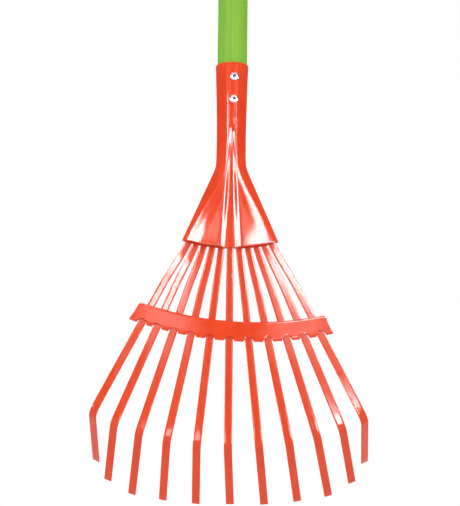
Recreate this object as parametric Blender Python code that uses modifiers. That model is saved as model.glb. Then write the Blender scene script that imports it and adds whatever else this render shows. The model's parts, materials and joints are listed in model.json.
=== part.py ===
"""Children's leaf rake: tube handle, flared sheet-metal socket, eleven spring tines and a folded brace.

Run with: blender --background --python part.py

The handle's axis is +Z and the origin is the centre of the hang hole in the end cap. The working side
of the head, where the tine tips point, is +Y. Every tine lies on a line through one point on the axis,
the fan's apex, and each one bends at the upper edge of its notch in the brace.
"""
import math

import bmesh
import bpy
from mathutils import Matrix, Vector

MM = 0.001

# Clearance between pieces that touch, and a finer one inside the rivets
FIT_GAP = 0.3 * MM

# Handle tube
HANDLE_RADIUS = 11.1 * MM
HANDLE_WALL = 1.0 * MM
HANDLE_LENGTH = 610.0 * MM
HANDLE_INSERT = 42.0 * MM
HANDLE_TOP_DROP = 18.0 * MM

# End cap, with the hang hole at the origin
CAP_WALL = 1.6 * MM
CAP_SKIRT_LENGTH = 30.0 * MM
CAP_CROWN_HEIGHT = 4.0 * MM
CAP_TAB_THICKNESS = 8.0 * MM
CAP_TAB_RADIUS = 10.5 * MM
HANG_HOLE_RADIUS = 4.5 * MM

# Socket: a tapered neck that flares into a flat pocket
SOCKET_WALL = 1.0 * MM
NECK_RADIUS = 10.95 * MM
NECK_TAPER_LENGTH = 60.0 * MM
NECK_TAPER_POWER = 1.6
FLARE_LENGTH = 61.5 * MM
FLARE_BLEND = 3.0 * MM
SOCKET_LENGTH = 139.5 * MM
LIP_SAG = 5.2 * MM
LOBE_DEPTH = 5.4 * MM
POCKET_GAP = 0.5 * MM
POCKET_SIDE_GAP = 1.8 * MM
BACK_SQUARENESS = 12.0
GROOVE_LEAD = 2.0 * MM
GROOVE_STRIP_HALF = 2.2 * MM
GROOVE_SLOPE_WIDTH = 7.0 * MM
SOCKET_ROWS = 22
SOCKET_COLUMNS = 22

# Tines
TINE_COUNT = 11
TINE_THICKNESS = 1.0 * MM
TINE_WIDTH = 5.8 * MM
TINE_SIDE_GAP = 0.5 * MM
TINE_PITCH_TAN = 0.1033
TINE_PITCH_EASE = 0.019
GATHER_SHARE = 0.055
GATHER_LENGTH = 40.0 * MM
LIP_RADIUS = 66.0 * MM
TINE_HELD_LENGTH = 13.0 * MM
KNEE_RADIUS = 212.8 * MM
KNEE_SKEW = 0.012
KNEE_BEND_RADIUS = 9.0 * MM
TIP_LENGTHS = {0: 60.5 * MM, 1: 62.5 * MM, 2: 64.5 * MM, 3: 67.5 * MM, 4: 62.0 * MM, 5: 68.0 * MM}
TIP_BEND = math.radians(55.0)
OUTER_TIP_EXTRA_BEND = math.radians(12.9)
TIP_LEANS = {5: math.radians(4.7), 4: math.radians(2.7)}
TIP_SKEW = math.radians(4.4)
CUP_DEPTH = 3.6 * MM
BEND_STEPS = 6

# Brace: a strip folded along its lower edge, with a notch for every tine
BRACE_DROP = 134.9 * MM
BRACE_SHIFT = 0.9 * MM
BRACE_SKEW = math.radians(3.1)
BRACE_ARC_RADIUS = 251.0 * MM
BRACE_HEIGHT = 14.3 * MM
BRACE_END_MARGIN = 8.7 * MM
BRACE_SHEET = 0.9 * MM
BRACE_CLEARANCE = 0.4 * MM
NOTCH_MARGIN = 1.0 * MM
NOTCH_RISE = 1.3 * MM
BRACE_COLUMNS = 44

# Blind rivets through the socket and the handle
RIVET_DROPS = (11.2 * MM, 28.6 * MM)
RIVET_TURN = math.radians(5.9)
RIVET_HEAD_RADIUS = 3.1 * MM
RIVET_HEAD_HEIGHT = 1.3 * MM
RIVET_SHANK_RADIUS = 1.6 * MM
RIVET_HOLE_RADIUS = 1.0 * MM
RIVET_BULB_RADIUS = 2.4 * MM
RIVET_BULB_LENGTH = 4.0 * MM
MANDREL_RECESS = 0.7 * MM
MANDREL_BALL_RADIUS = 1.5 * MM

# Heights worked out from the sizes above
HANDLE_TOP_Z = -HANDLE_TOP_DROP
HANDLE_BOTTOM_Z = HANDLE_TOP_Z - HANDLE_LENGTH
RIM_Z = HANDLE_BOTTOM_Z + HANDLE_INSERT
APEX = Vector((0.0, 0.0, RIM_Z - SOCKET_LENGTH + LIP_RADIUS))
RIM_RADIUS = HANDLE_RADIUS + FIT_GAP + SOCKET_WALL
FLARE_START = SOCKET_LENGTH - FLARE_LENGTH
GROOVE_START = HANDLE_INSERT + GROOVE_LEAD
CUP_START_RADIUS = LIP_RADIUS + 6.0 * MM
BACK_DEPTH = TINE_THICKNESS / 2 + POCKET_GAP + SOCKET_WALL
OUTER_INDEX = TINE_COUNT // 2
OUTER_ANGLE = math.atan(TINE_PITCH_TAN * OUTER_INDEX)

# The tines are narrowed in the pocket so that the outer ones, which stand closest, keep a side gap
HELD_OUTER_TAN = TINE_PITCH_TAN * OUTER_INDEX * (1.0 - GATHER_SHARE)
HELD_STEP = math.atan(HELD_OUTER_TAN) - math.atan(HELD_OUTER_TAN * (OUTER_INDEX - 1) / OUTER_INDEX)
TINE_START_RADIUS = LIP_RADIUS - TINE_HELD_LENGTH
TINE_LIP_WIDTH = LIP_RADIUS * HELD_STEP - TINE_SIDE_GAP
TINE_HELD_WIDTH = TINE_START_RADIUS * HELD_STEP - TINE_SIDE_GAP

# The mouth is as wide as the outer tines need
MOUTH_HALF_WIDTH = (
    (LIP_RADIUS - LIP_SAG) * HELD_OUTER_TAN
    + TINE_LIP_WIDTH / 2 * math.hypot(1.0, HELD_OUTER_TAN)
    + POCKET_SIDE_GAP
    + SOCKET_WALL
)
FLARE_SLOPE = (MOUTH_HALF_WIDTH - NECK_RADIUS) / (FLARE_LENGTH - LIP_SAG)
BRACE_GAP = TINE_THICKNESS + 2 * BRACE_CLEARANCE
BRACE_FOLD_RADIUS = (BRACE_GAP + BRACE_SHEET) / 2
BRACE_FOLD_HEIGHT = BRACE_FOLD_RADIUS + BRACE_SHEET / 2
BRACE_CENTRE = (
    BRACE_SHIFT + BRACE_ARC_RADIUS * math.sin(BRACE_SKEW),
    APEX.z - BRACE_DROP + BRACE_ARC_RADIUS * math.cos(BRACE_SKEW),
)


def clear_scene():
    """Remove the objects of the startup scene."""
    for old in list(bpy.data.objects):
        bpy.data.objects.remove(old)


def make_collection(name):
    collection = bpy.data.collections.new(name)
    bpy.context.scene.collection.children.link(collection)
    return collection


def make_material(name, colour, roughness, metallic=0.0):
    material = bpy.data.materials.new(name)
    material.use_nodes = True
    shader = material.node_tree.nodes["Principled BSDF"]
    shader.inputs["Base Color"].default_value = (*colour, 1.0)
    shader.inputs["Roughness"].default_value = roughness
    shader.inputs["Metallic"].default_value = metallic
    return material


def add_object(name, bm, collection, material=None):
    """Turn a bmesh into a named object in a collection."""
    mesh = bpy.data.meshes.new(name)
    bm.to_mesh(mesh)
    bm.free()
    obj = bpy.data.objects.new(name, mesh)
    collection.objects.link(obj)
    if material is not None:
        mesh.materials.append(material)
    return obj


def add_cutter(name, bm, collection):
    cutter = add_object(name, bm, collection)
    cutter.hide_render = True
    cutter.display_type = "WIRE"
    return cutter


def add_boolean(obj, other, operation):
    modifier = obj.modifiers.new(f"{operation.lower()}_{other.name}", "BOOLEAN")
    modifier.operation = operation
    modifier.solver = "EXACT"
    modifier.object = other


def add_solidify(obj, thickness, offset):
    modifier = obj.modifiers.new("sheet", "SOLIDIFY")
    modifier.thickness = thickness
    modifier.offset = offset
    modifier.use_even_offset = True


def shade_round(obj):
    obj.data.shade_smooth()
    obj.data.set_sharp_from_angle(angle=math.radians(35))


def add_turned(name, profile, steps, collection, material, closed=True):
    """Turn a profile of (radius, height) points, outer side first from the top down, about local Z."""
    bm = bmesh.new()
    verts = [bm.verts.new((radius, 0.0, height)) for radius, height in profile]
    for first, second in zip(verts, verts[1:]):
        bm.edges.new((first, second))
    if closed:
        bm.edges.new((verts[-1], verts[0]))
    obj = add_object(name, bm, collection, material)
    screw = obj.modifiers.new("turn", "SCREW")
    screw.steps = steps
    screw.render_steps = steps
    screw.use_merge_vertices = True
    screw.merge_threshold = 0.00001
    return obj


def smoothstep(value):
    clamped = min(max(value, 0.0), 1.0)
    return clamped * clamped * (3.0 - 2.0 * clamped)


# ---- Socket shape, by distance below its rim ----

def neck_radius(drop):
    """Outer radius of the tapered neck."""
    left = max(0.0, 1.0 - drop / NECK_TAPER_LENGTH)
    return NECK_RADIUS + (RIM_RADIUS - NECK_RADIUS) * left ** NECK_TAPER_POWER


def socket_half_width(drop):
    """Outer half-width of the neck and of the straight-sided flare below it."""
    beyond = drop - FLARE_START
    blended = (beyond + math.hypot(beyond, FLARE_BLEND)) / 2
    return neck_radius(drop) + FLARE_SLOPE * blended


def flare_share(drop):
    return smoothstep((drop - FLARE_START + 10 * MM) / (SOCKET_LENGTH - FLARE_START + 10 * MM))


def groove_depth(across, share, front):
    """How far the central groove pulls the front wall in, at a distance across."""
    slope_width = GROOVE_SLOPE_WIDTH * (0.35 + 0.65 * share)
    flat_half = GROOVE_STRIP_HALF * share
    fade = 1.0 - smoothstep((abs(across) - flat_half) / slope_width)
    return (front - BACK_DEPTH) * share * fade


def socket_point(drop, turn):
    """Point of the socket's outer surface; turn 0 is the front middle and runs to +X."""
    share = flare_share(drop)
    side_drop = drop - LIP_SAG * share
    half_width = socket_half_width(side_drop)
    lean = turn if abs(turn) <= math.pi / 2 else math.pi - abs(turn)
    across = half_width * math.sin(turn)
    height = math.cos(lean)
    radius = neck_radius(drop)
    if abs(turn) <= math.pi / 2:
        front = radius + (LOBE_DEPTH - radius) * share
        depth = front * height ** (1.0 - 0.3 * share)
        groove_share = max(0.0, (drop - GROOVE_START) / (SOCKET_LENGTH - GROOVE_START)) ** 1.3
        room = min(1.0, depth / front)
        depth -= groove_depth(across, groove_share, front) * room
        y = -depth
    else:
        back = radius + (BACK_DEPTH - radius) * share
        power = 2.0 + (BACK_SQUARENESS - 2.0) * share
        y = back * (1.0 - abs(math.sin(turn)) ** power) ** (1.0 / power)
    here = drop - LIP_SAG * share * (across / half_width) ** 2
    return Vector((across, y, RIM_Z - here))


def ring_turns():
    """Angles round one ring of the socket, closer together over the groove."""
    turns = []
    for step in range(-SOCKET_COLUMNS // 2, SOCKET_COLUMNS // 2):
        part = step / (SOCKET_COLUMNS // 2)
        turns.append(math.pi / 2 * part * (0.6 + 0.4 * part * part))
    for step in range(SOCKET_COLUMNS):
        turns.append(math.pi / 2 + math.pi * step / SOCKET_COLUMNS)
    return turns


def build_socket(parts, cutters, material):
    """Loft the neck into the flared pocket, give it a wall and drill it for the rivets."""
    bm = bmesh.new()
    turns = ring_turns()
    rings = []
    for row in range(SOCKET_ROWS + 1):
        drop = SOCKET_LENGTH * row / SOCKET_ROWS
        rings.append([bm.verts.new(wrapped_point(drop, turn)) for turn in turns])
    count = len(turns)
    for upper, lower in zip(rings, rings[1:]):
        for column in range(count):
            after = (column + 1) % count
            bm.faces.new((upper[column], lower[column], lower[after], upper[after]))
    socket = add_object("socket", bm, parts, material)
    add_solidify(socket, SOCKET_WALL, -1.0)
    for index, drop in enumerate(RIVET_DROPS, start=1):
        add_boolean(socket, rivet_drill(f"socket_drill_{index}", drop, cutters), "DIFFERENCE")
    shade_round(socket)


def wrapped_point(drop, turn):
    """Socket point for a turn that may pass the back middle."""
    if turn > math.pi:
        turn -= 2 * math.pi
    return socket_point(drop, turn)


# ---- Rivets ----

def rivet_matrix(drop):
    """Place local +Z along the rivet, pointing out, with the head's seat on the socket."""
    outward = Vector((math.sin(RIVET_TURN), -math.cos(RIVET_TURN), 0.0))
    seat = outward * (neck_radius(drop) + FIT_GAP)
    seat.z = RIM_Z - drop
    return Matrix.Translation(seat) @ outward.to_track_quat("Z", "Y").to_matrix().to_4x4()


def rivet_drill(name, drop, cutters):
    """Cutter for the rivet's hole through the near wall of the socket and of the handle."""
    reach = 2 * (SOCKET_WALL + HANDLE_WALL + FIT_GAP)
    bm = bmesh.new()
    bmesh.ops.create_cone(
        bm, cap_ends=True, segments=24, radius1=RIVET_SHANK_RADIUS + FIT_GAP,
        radius2=RIVET_SHANK_RADIUS + FIT_GAP, depth=2 * reach,
    )
    drill = add_cutter(name, bm, cutters)
    drill.matrix_world = rivet_matrix(drop)
    return drill


def build_rivet(name, drop, parts, material, mandrel_material):
    """A blind rivet with its domed head and set tail, and the broken mandrel left inside it."""
    grip = SOCKET_WALL + HANDLE_WALL + 3 * FIT_GAP
    tail = grip + RIVET_BULB_LENGTH
    dome = []
    for step in range(6):
        angle = math.radians(90 - 18 * step)
        radius = RIVET_HOLE_RADIUS + (RIVET_HEAD_RADIUS - RIVET_HOLE_RADIUS) * math.cos(angle)
        dome.append((radius, 0.2 * MM + (RIVET_HEAD_HEIGHT - 0.2 * MM) * math.sin(angle)))
    profile = dome + [
        (RIVET_HEAD_RADIUS, 0.0),
        (RIVET_SHANK_RADIUS, 0.0),
        (RIVET_SHANK_RADIUS, -grip),
        (RIVET_BULB_RADIUS, -grip - RIVET_BULB_LENGTH * 0.25),
        (RIVET_BULB_RADIUS, -grip - RIVET_BULB_LENGTH * 0.6),
        (RIVET_SHANK_RADIUS, -tail),
        (RIVET_HOLE_RADIUS, -tail),
    ]
    rivet = add_turned(name, profile, 24, parts, material)
    rivet.matrix_world = rivet_matrix(drop)
    stem_radius = RIVET_HOLE_RADIUS - FIT_GAP
    ball_top = -tail - FIT_GAP
    stem = [
        (0.0, -MANDREL_RECESS),
        (stem_radius, -MANDREL_RECESS),
        (stem_radius, ball_top),
        (MANDREL_BALL_RADIUS, ball_top),
        (MANDREL_BALL_RADIUS, ball_top - MANDREL_BALL_RADIUS),
        (0.0, ball_top - 1.6 * MANDREL_BALL_RADIUS),
    ]
    mandrel = add_turned(f"{name}_mandrel", stem, 16, parts, mandrel_material, closed=False)
    mandrel.matrix_world = rivet_matrix(drop)


# ---- Handle and end cap ----

def build_handle(parts, cutters, material):
    """The tube, swaged at its lower end to follow the inside of the tapered socket."""
    outer = [(HANDLE_RADIUS, HANDLE_TOP_Z)]
    steps = 8
    for step in range(steps + 1):
        drop = HANDLE_INSERT * step / steps
        fitted = neck_radius(drop) - SOCKET_WALL - FIT_GAP
        outer.append((min(HANDLE_RADIUS, fitted), RIM_Z - drop))
    inner = [(radius - HANDLE_WALL, height) for radius, height in reversed(outer)]
    handle = add_turned("handle_tube", outer + inner, 40, parts, material)
    for index, drop in enumerate(RIVET_DROPS, start=1):
        add_boolean(handle, rivet_drill(f"handle_drill_{index}", drop, cutters), "DIFFERENCE")
    shade_round(handle)


def build_end_cap(parts, cutters, material):
    """A cap whose skirt covers the tube's end, with a flat tab that has the hang hole."""
    inner_radius = HANDLE_RADIUS + FIT_GAP
    outer_radius = inner_radius + CAP_WALL
    seat_z = HANDLE_TOP_Z + FIT_GAP
    crown_z = seat_z + CAP_CROWN_HEIGHT
    profile = [
        (0.0, crown_z),
        (outer_radius - 2.5 * MM, crown_z),
        (outer_radius - 0.7 * MM, crown_z - 0.8 * MM),
        (outer_radius, crown_z - 2.5 * MM),
        (outer_radius, crown_z - CAP_SKIRT_LENGTH),
        (inner_radius, crown_z - CAP_SKIRT_LENGTH),
        (inner_radius, seat_z),
        (0.0, seat_z),
    ]
    cap = add_turned("end_cap", profile, 40, parts, material, closed=False)

    tab = bpy.data.curves.new("tab", "CURVE")
    tab.dimensions = "2D"
    tab.fill_mode = "BOTH"
    tab.extrude = CAP_TAB_THICKNESS / 2
    foot_z = seat_z + CAP_CROWN_HEIGHT / 2
    outline = [(outer_radius - 3.0 * MM, foot_z)]
    for step in range(17):
        angle = math.radians(-10 + 200 * step / 16)
        outline.append((CAP_TAB_RADIUS * math.cos(angle), CAP_TAB_RADIUS * math.sin(angle)))
    outline.append((3.0 * MM - outer_radius, foot_z))
    add_polygon(tab, outline)
    hole = []
    for step in range(24):
        angle = 2 * math.pi * step / 24
        hole.append((HANG_HOLE_RADIUS * math.cos(angle), HANG_HOLE_RADIUS * math.sin(angle)))
    add_polygon(tab, hole)
    flat_tab = bpy.data.objects.new("tab_curve", tab)
    cutters.objects.link(flat_tab)
    flat_tab.rotation_euler = (math.pi / 2, 0.0, 0.0)
    bpy.context.view_layer.update()
    solid_tab = curve_to_mesh(flat_tab, "cap_tab", cutters)
    add_boolean(cap, solid_tab, "UNION")


def add_polygon(curve, points):
    spline = curve.splines.new("POLY")
    spline.points.add(len(points) - 1)
    for point, (across, along) in zip(spline.points, points):
        point.co = (across, along, 0.0, 1.0)
    spline.use_cyclic_u = True


def curve_to_mesh(curve_object, name, collection):
    """Replace a filled curve with a closed mesh in the same place."""
    evaluated = curve_object.evaluated_get(bpy.context.evaluated_depsgraph_get())
    mesh = bpy.data.meshes.new_from_object(evaluated)
    bm = bmesh.new()
    bm.from_mesh(mesh)
    bmesh.ops.remove_doubles(bm, verts=bm.verts, dist=0.00001)
    result = add_cutter(name, bm, collection)
    result.matrix_world = curve_object.matrix_world
    bpy.data.objects.remove(curve_object)
    return result


# ---- Fan of tines ----

def fan_depth(radius, angle):
    """How far the fan's middle surface lies behind the flat plane of the pocket."""
    run = max(0.0, radius - CUP_START_RADIUS) / (KNEE_RADIUS - CUP_START_RADIUS)
    return CUP_DEPTH * run * (angle / OUTER_ANGLE) ** 2


def fan_point(radius, angle):
    """Point of the fan's middle surface, by distance from the apex and angle from the axis."""
    y = fan_depth(radius, angle)
    return APEX + Vector((radius * math.sin(angle), y, -radius * math.cos(angle)))


def tine_angle(index, radius):
    """Angle of a tine from the axis; the tines are gathered a little towards the pocket."""
    apart = smoothstep((radius - LIP_RADIUS) / GATHER_LENGTH)
    ease = 1.0 + TINE_PITCH_EASE * (1.0 - (index / OUTER_INDEX) ** 2)
    return math.atan(TINE_PITCH_TAN * index * ease * (1.0 - GATHER_SHARE * (1.0 - apart)))


def tine_point(index, radius):
    return fan_point(radius, tine_angle(index, radius))


def tine_width(radius):
    """Width across a tine: widest at the knee, narrower at the lip and where it is held."""
    if radius < LIP_RADIUS:
        part = (radius - TINE_START_RADIUS) / (LIP_RADIUS - TINE_START_RADIUS)
        return TINE_HELD_WIDTH + (TINE_LIP_WIDTH - TINE_HELD_WIDTH) * part
    part = min(1.0, (radius - LIP_RADIUS) / (KNEE_RADIUS - LIP_RADIUS))
    return TINE_LIP_WIDTH + (TINE_WIDTH - TINE_LIP_WIDTH) * math.sqrt(part)


def tine_frame(index, radius):
    """Middle point, direction, across and normal of a tine's straight part."""
    angle = tine_angle(index, radius)
    small = 0.5 * MM
    along = (tine_point(index, radius + small) - tine_point(index, radius - small)).normalized()
    turn = small / radius
    across = (fan_point(radius, angle + turn) - fan_point(radius, angle - turn)).normalized()
    normal = along.cross(across).normalized()
    if normal.y < 0:
        normal.negate()
    across = normal.cross(along).normalized()
    return tine_point(index, radius), along, across, normal


def knee_radius(index):
    """Distance of a tine's knee from the apex; the line of knees slants a little."""
    return KNEE_RADIUS * (1.0 + KNEE_SKEW * tine_angle(index, KNEE_RADIUS))


def tip_lean(index):
    """Twist of the tine at its knee: all tips lean a little to +X, and the outer ones inward."""
    return TIP_SKEW - math.copysign(TIP_LEANS.get(abs(index), 0.0), index)


def twisted(index, radius):
    """Across and normal directions of a tine, with its twist below the brace."""
    point, along, across, normal = tine_frame(index, radius)
    start = split_radius(index)
    part = smoothstep((radius - start) / (knee_radius(index) - start))
    turn = Matrix.Rotation(tip_lean(index) * part, 3, along)
    outward = turn @ normal
    sideways = turn @ across
    return point, along, sideways, outward


def brace_crossing(index, arc_radius=BRACE_ARC_RADIUS):
    """Distance from the apex at which a tine crosses one of the brace's arcs, by default its lower edge."""
    angle = tine_angle(index, KNEE_RADIUS)
    toward_x = math.sin(angle)
    toward_z = -math.cos(angle)
    from_x = APEX.x - BRACE_CENTRE[0]
    from_z = APEX.z - BRACE_CENTRE[1]
    half = from_x * toward_x + from_z * toward_z
    rest = from_x ** 2 + from_z ** 2 - arc_radius ** 2
    return -half + math.sqrt(half * half - rest)


def notch_radius(index):
    return tine_width(brace_crossing(index)) / 2 + NOTCH_MARGIN


def notch_depth(index):
    """Depth of a notch: it rises past the fold, and further where the brace crosses its tine at a slant."""
    radius = brace_crossing(index)
    angle = tine_angle(index, KNEE_RADIUS)
    from_x = APEX.x + radius * math.sin(angle) - BRACE_CENTRE[0]
    from_z = APEX.z - radius * math.cos(angle) - BRACE_CENTRE[1]
    slant = angle - math.atan2(from_x, -from_z)
    return BRACE_FOLD_HEIGHT + NOTCH_RISE + tine_width(radius) / 2 * abs(math.tan(slant))


def split_radius(index):
    """Where the held length of a tine ends and its free length begins: its notch's upper edge."""
    return brace_crossing(index) - notch_depth(index)


def held_stations(index):
    """Stations (point, across, width) of the length between the pocket and the brace."""
    stations = []
    end = split_radius(index) - FIT_GAP / 2
    stops = [TINE_START_RADIUS, LIP_RADIUS]
    for share in (0.25, 0.5, 0.75, 1.0):
        stops.append(LIP_RADIUS + GATHER_LENGTH * share)
    stops.append(end)
    for radius in stops:
        point, _, across, _ = twisted(index, radius)
        stations.append((point, across, tine_width(radius)))
    return stations


def free_stations(index):
    """Stations of the length from the brace round the knee to the tip."""
    bend = TIP_BEND + (OUTER_TIP_EXTRA_BEND if abs(index) == OUTER_INDEX else 0.0)
    setback = KNEE_BEND_RADIUS * math.tan(bend / 2)
    start = split_radius(index) + FIT_GAP / 2
    stations = []
    straight_steps = 5
    for step in range(straight_steps + 1):
        radius = start + (knee_radius(index) - setback - start) * step / straight_steps
        point, along, across, normal = twisted(index, radius)
        stations.append((point, across, tine_width(radius)))
    centre = point + normal * KNEE_BEND_RADIUS
    for step in range(1, BEND_STEPS + 1):
        angle = bend * step / BEND_STEPS
        sweep = along * math.sin(angle) - normal * math.cos(angle)
        stations.append((centre + sweep * KNEE_BEND_RADIUS, across, TINE_WIDTH))
    tip_direction = along * math.cos(bend) + normal * math.sin(bend)
    end = stations[-1][0] + tip_direction * (TIP_LENGTHS[abs(index)] - setback)
    stations.append((end, across, TINE_WIDTH))
    return stations


def build_strip(name, stations, parts, material):
    """A flat strip through its stations, from a grid that is laid on them."""
    last = len(stations) - 1
    bm = bmesh.new()
    bmesh.ops.create_grid(bm, x_segments=last, y_segments=1, size=0.5)
    for vert in bm.verts:
        station = round((vert.co.x + 0.5) * last)
        side = 1.0 if vert.co.y > 0 else -1.0
        point, across, width = stations[station]
        vert.co = point + across * (side * width / 2)
    strip = add_object(name, bm, parts, material)
    add_solidify(strip, TINE_THICKNESS, 0.0)
    shade_round(strip)


def build_tines(parts, material):
    for number in range(1, TINE_COUNT + 1):
        index = number - 1 - OUTER_INDEX
        build_strip(f"tine_{number:02d}_shank", held_stations(index), parts, material)
        blade_name = f"tine_{number:02d}_blade"
        build_strip(blade_name, free_stations(index), parts, material)


# ---- Brace ----

def brace_half_swing(arc_radius):
    """Half of the brace's arc: it runs past the outer tines by its end margin."""
    swings = []
    for index in (-OUTER_INDEX, OUTER_INDEX):
        across = brace_crossing(index, arc_radius) * math.sin(tine_angle(index, KNEE_RADIUS))
        swings.append(abs(math.asin((across - BRACE_CENTRE[0]) / arc_radius) + BRACE_SKEW))
    return max(swings) + BRACE_END_MARGIN / arc_radius


def brace_point(share, height, offset):
    """Point of the folded strip: share along it, height above its lower edge, offset off the fan."""
    radius = BRACE_ARC_RADIUS - height
    swing = brace_half_swing(radius) * share - BRACE_SKEW
    x = BRACE_CENTRE[0] + radius * math.sin(swing)
    z = BRACE_CENTRE[1] - radius * math.cos(swing)
    from_apex = math.hypot(x - APEX.x, z - APEX.z)
    angle = math.atan2(x - APEX.x, APEX.z - z)
    return Vector((x, fan_depth(from_apex, angle) + offset, z))


def brace_section():
    """Middle line of the folded sheet, as (height, offset): front leaf, fold, back leaf."""
    top = BRACE_HEIGHT
    middle = (BRACE_HEIGHT + BRACE_FOLD_HEIGHT) / 2
    section = [(top, -BRACE_FOLD_RADIUS), (middle, -BRACE_FOLD_RADIUS)]
    for step in range(7):
        angle = math.pi * step / 6
        height = BRACE_FOLD_HEIGHT - BRACE_FOLD_RADIUS * math.sin(angle)
        section.append((height, -BRACE_FOLD_RADIUS * math.cos(angle)))
    section += [(middle, BRACE_FOLD_RADIUS), (top, BRACE_FOLD_RADIUS)]
    return section


def build_brace(parts, cutters, material):
    """The folded strip, bent to the fan, with a half-round notch for every tine."""
    section = brace_section()
    last = len(section) - 1
    bm = bmesh.new()
    bmesh.ops.create_grid(bm, x_segments=last, y_segments=BRACE_COLUMNS, size=0.5)
    for vert in bm.verts:
        height, offset = section[round((vert.co.x + 0.5) * last)]
        share = 2 * vert.co.y
        vert.co = brace_point(share, height, offset)
    brace = add_object("brace", bm, parts, material)
    add_solidify(brace, BRACE_SHEET, 0.0)
    notches = bmesh.new()
    for number in range(TINE_COUNT):
        index = number - OUTER_INDEX
        centre_radius = split_radius(index) + notch_radius(index)
        point, _, _, normal = tine_frame(index, centre_radius)
        place = Matrix.Translation(point) @ normal.to_track_quat("Z", "Y").to_matrix().to_4x4()
        bmesh.ops.create_cone(
            notches, cap_ends=True, segments=28, radius1=notch_radius(index),
            radius2=notch_radius(index), depth=12 * MM, matrix=place,
        )
    add_boolean(brace, add_cutter("brace_notches", notches, cutters), "DIFFERENCE")


def main():
    clear_scene()
    parts = make_collection("leaf_rake")
    cutters = make_collection("leaf_rake_cutters")
    green = make_material("handle_paint", (0.26, 0.56, 0.05), 0.25)
    orange = make_material("head_paint", (0.83, 0.10, 0.03), 0.2)
    tine_orange = make_material("tine_paint", (0.80, 0.09, 0.03), 0.3)
    plastic = make_material("cap_plastic", (0.03, 0.03, 0.03), 0.5)
    aluminium = make_material("rivet_aluminium", (0.75, 0.75, 0.76), 0.3, 1.0)
    steel = make_material("mandrel_steel", (0.35, 0.35, 0.36), 0.4, 1.0)
    build_handle(parts, cutters, green)
    build_end_cap(parts, cutters, plastic)
    build_socket(parts, cutters, orange)
    build_rivet("rivet_upper", RIVET_DROPS[0], parts, aluminium, steel)
    build_rivet("rivet_lower", RIVET_DROPS[1], parts, aluminium, steel)
    build_brace(parts, cutters, orange)
    build_tines(parts, tine_orange)


main()
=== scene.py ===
"""Looks of a children's leaf rake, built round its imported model.

The handle's axis is +Z with the origin in the hang hole at the top, the face that is shown is -Y and
the tine tips bend towards +Y. All sizes are in metres. Every piece takes its place from the frame: the
boxes of its nodes and the hinges of its tines.
"""
import json
import logging
import math
from dataclasses import dataclass, field
from enum import Enum
from typing import Callable, ClassVar

import bmesh
import bpy
from mathutils import Matrix, Vector


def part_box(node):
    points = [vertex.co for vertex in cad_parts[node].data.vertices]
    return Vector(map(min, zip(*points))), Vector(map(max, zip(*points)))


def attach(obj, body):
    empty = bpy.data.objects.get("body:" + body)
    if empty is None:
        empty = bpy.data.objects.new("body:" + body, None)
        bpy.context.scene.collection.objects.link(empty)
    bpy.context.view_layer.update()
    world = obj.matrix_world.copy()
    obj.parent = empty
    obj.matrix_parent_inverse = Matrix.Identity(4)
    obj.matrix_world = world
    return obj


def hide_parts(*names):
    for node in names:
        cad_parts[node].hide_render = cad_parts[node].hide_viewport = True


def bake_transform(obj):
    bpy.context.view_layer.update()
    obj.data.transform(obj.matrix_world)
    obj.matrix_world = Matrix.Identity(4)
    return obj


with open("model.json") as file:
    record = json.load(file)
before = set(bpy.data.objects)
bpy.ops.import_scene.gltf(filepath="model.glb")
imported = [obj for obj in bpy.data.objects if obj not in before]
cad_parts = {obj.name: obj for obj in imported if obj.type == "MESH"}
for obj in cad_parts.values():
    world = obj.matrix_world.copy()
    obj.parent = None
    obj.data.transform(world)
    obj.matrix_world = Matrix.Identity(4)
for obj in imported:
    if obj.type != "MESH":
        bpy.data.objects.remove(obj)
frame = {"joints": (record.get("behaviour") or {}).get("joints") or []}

LOG = logging.getLogger("leaf_rake")
MM = 0.001
FIT_GAP = 0.3 * MM

Point = tuple[float, float]
Triple = tuple[float, float, float]


# ---- Small mathematics ----

def smoothstep(value: float) -> float:
    """Ease from 0 to 1 with level ends."""
    clamped = min(max(value, 0.0), 1.0)
    return clamped * clamped * (3.0 - 2.0 * clamped)


def crowded(count: int, half: float, crowding: float) -> list[float]:
    """Spread values over -half to half, closer together in the middle.

    Args:
        count: Number of steps, so there is one more value than this.
        half: The last value, and the first with its sign changed.
        crowding: 0 for even steps, nearly 1 for steps that are tiny in the middle.

    Returns:
        The values in rising order.
    """
    shares = [2.0 * step / count - 1.0 for step in range(count + 1)]
    return [half * share * (1.0 - crowding + crowding * share * share) for share in shares]


# ---- Mesh making ----

def as_object(name: str, bm: bmesh.types.BMesh) -> bpy.types.Object:
    """Turn a bmesh into an object of the scene.

    Args:
        name: The object's name.
        bm: The finished bmesh, which is freed.

    Returns:
        The new object, at the origin.
    """
    mesh = bpy.data.meshes.new(name)
    bm.to_mesh(mesh)
    bm.free()
    obj = bpy.data.objects.new(name, mesh)
    bpy.context.scene.collection.objects.link(obj)
    return obj


def tidy_shell(bm: bmesh.types.BMesh, merge: float = 0.005 * MM) -> None:
    """Merge doubled vertices and turn every face outwards.

    Args:
        bm: The bmesh to tidy.
        merge: Distance under which vertices are one.
    """
    bmesh.ops.remove_doubles(bm, verts=bm.verts, dist=merge)
    bmesh.ops.recalc_face_normals(bm, faces=bm.faces)


def apply_modifiers(obj: bpy.types.Object) -> bpy.types.Object:
    """Replace an object's mesh with what its modifiers make of it.

    Args:
        obj: The object whose modifiers are used up.

    Returns:
        The same object.
    """
    graph = bpy.context.evaluated_depsgraph_get()
    made = bpy.data.meshes.new_from_object(obj.evaluated_get(graph), depsgraph=graph)
    obj.modifiers.clear()
    obj.data = made
    made.name = obj.name
    return obj


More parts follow.
